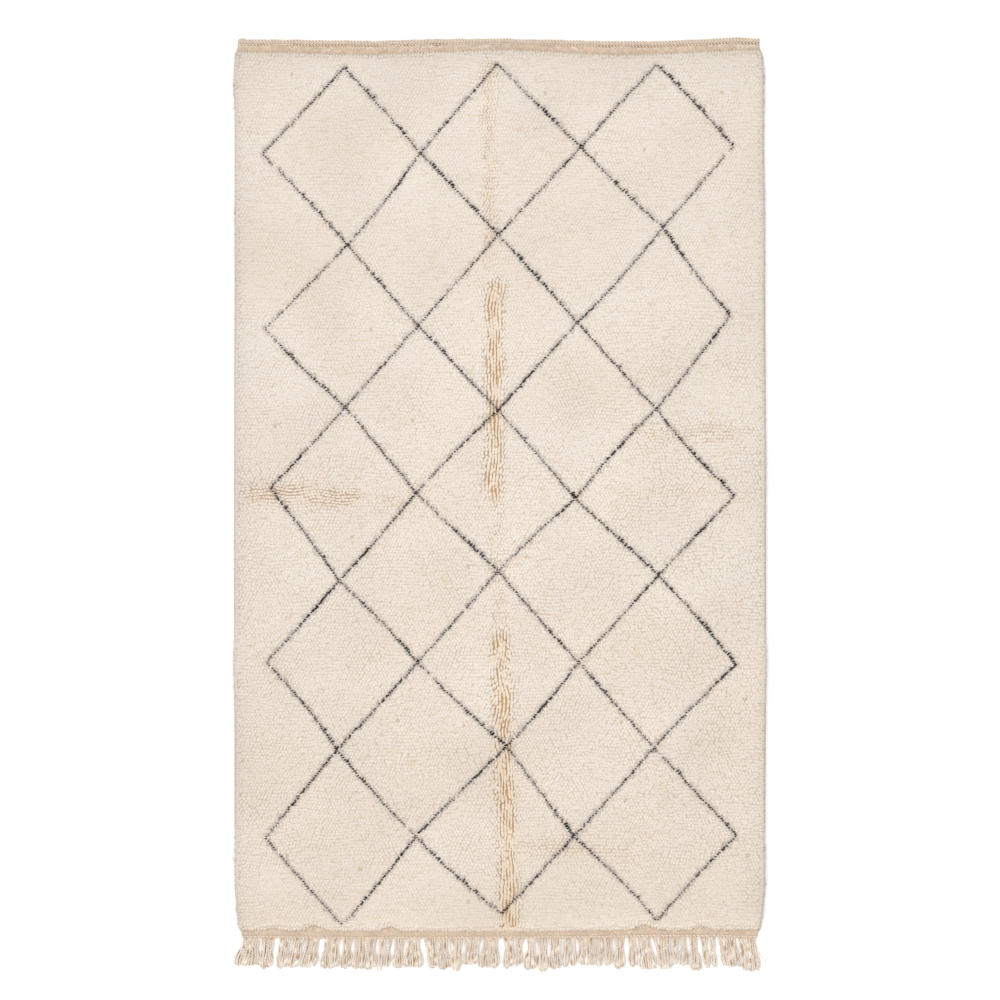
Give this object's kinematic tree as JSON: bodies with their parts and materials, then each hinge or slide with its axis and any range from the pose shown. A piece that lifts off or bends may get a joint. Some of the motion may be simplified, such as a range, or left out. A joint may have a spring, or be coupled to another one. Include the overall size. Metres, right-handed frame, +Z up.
{
  "type": "beni ourain rug",
  "caption": "Flat rectangular wool pile rug, cream with a thin dark lozenge lattice, corded flat-woven band at one end and looped fringe at the other.",
  "frame": {"origin": "on the floor, under the middle of the whole rug with its fringe", "axes": "+Z up, out of the pile; +Y along the rug's length, from the fringe to the corded plain end; +X across it, to the right when the fringe points at the viewer"},
  "size_m": [1.511, 2.6422, 0.0232],
  "materials": {
    "cream_wool": "soft knotted wool pile, natural cream, dull",
    "dark_wool": "undyed dark brown wool knots, used for the thin lines of the lattice",
    "beige_yarn": "flat-woven and twined wool yarn, dull beige",
    "tan_yarn": "twined wool yarn, dull tan",
    "oatmeal_yarn": "plied warp yarn, dull cream to tan"
  },
  "bodies": {
    "root": {"rug_body": "cream_wool", "heading_cord": "beige_yarn", "closing_cord": "tan_yarn", "fringe": "oatmeal_yarn"}
  },
  "joints": []
}
